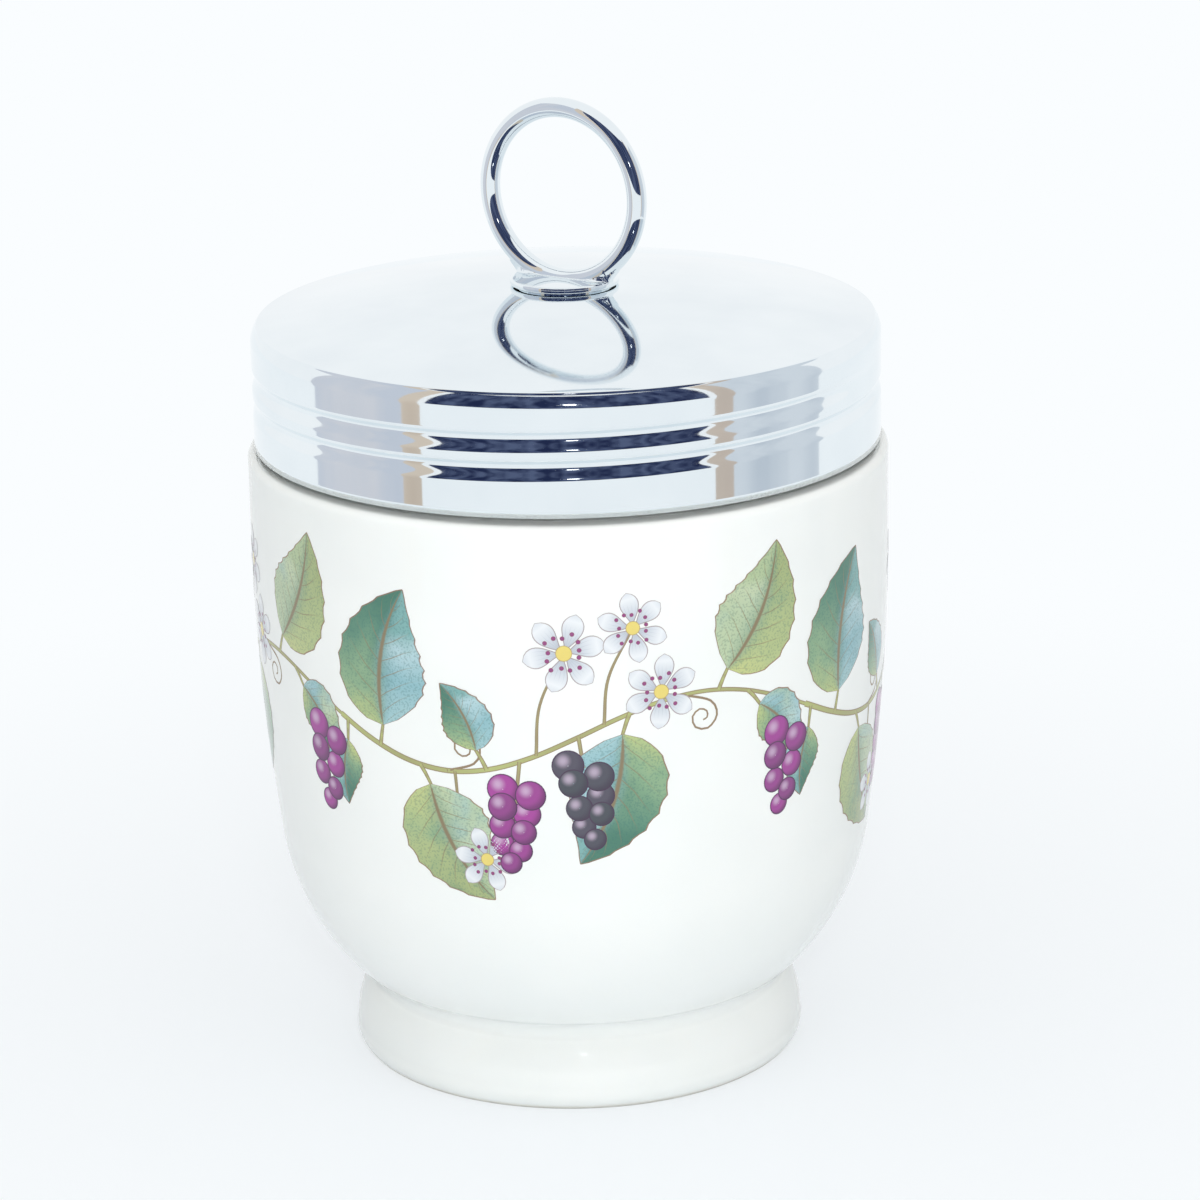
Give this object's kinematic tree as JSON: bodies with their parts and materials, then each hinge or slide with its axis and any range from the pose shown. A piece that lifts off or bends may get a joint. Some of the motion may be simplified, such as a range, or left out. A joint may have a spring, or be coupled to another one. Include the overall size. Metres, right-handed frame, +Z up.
{
  "type": "porcelain egg coddler",
  "caption": "Glazed porcelain egg coddler: a round cup on a foot ring, with a chromed lid that screws on and an upright ring handle.",
  "frame": {"origin": "centre of the foot ring, in the plane that it stands on", "axes": "+Z up along the cup's axis, -Y towards the front of the cup"},
  "size_m": [0.0778, 0.0778, 0.1184],
  "materials": {
    "glazed_porcelain": "gloss glaze",
    "chromed_lid": "polished",
    "chromed_handle": "polished",
    "solder": "satin"
  },
  "bodies": {
    "cup": {"porcelain_cup": "glazed_porcelain"},
    "lid_thread": {"foot_solder": "solder"},
    "lid": {"lid_shell": "chromed_lid", "handle_foot": "chromed_handle", "handle_ring": "chromed_handle", "ring_braze": "chromed_handle"}
  },
  "joints": [
    {"name": "lid_rise", "type": "slide", "parent": "cup", "child": "lid_thread", "axis": [0, 0, 1], "range_m": [0, 0.01616]},
    {"name": "lid_turn", "type": "hinge", "parent": "lid_thread", "child": "lid", "pos_m": [0, 0, 0.0957], "axis": [0, 0, 1], "range_deg": [0, 1700]}
  ],
  "couplings": [
    {"joint": "lid_rise", "follows": "lid_turn", "m_per_rad": 0.00054113}
  ]
}
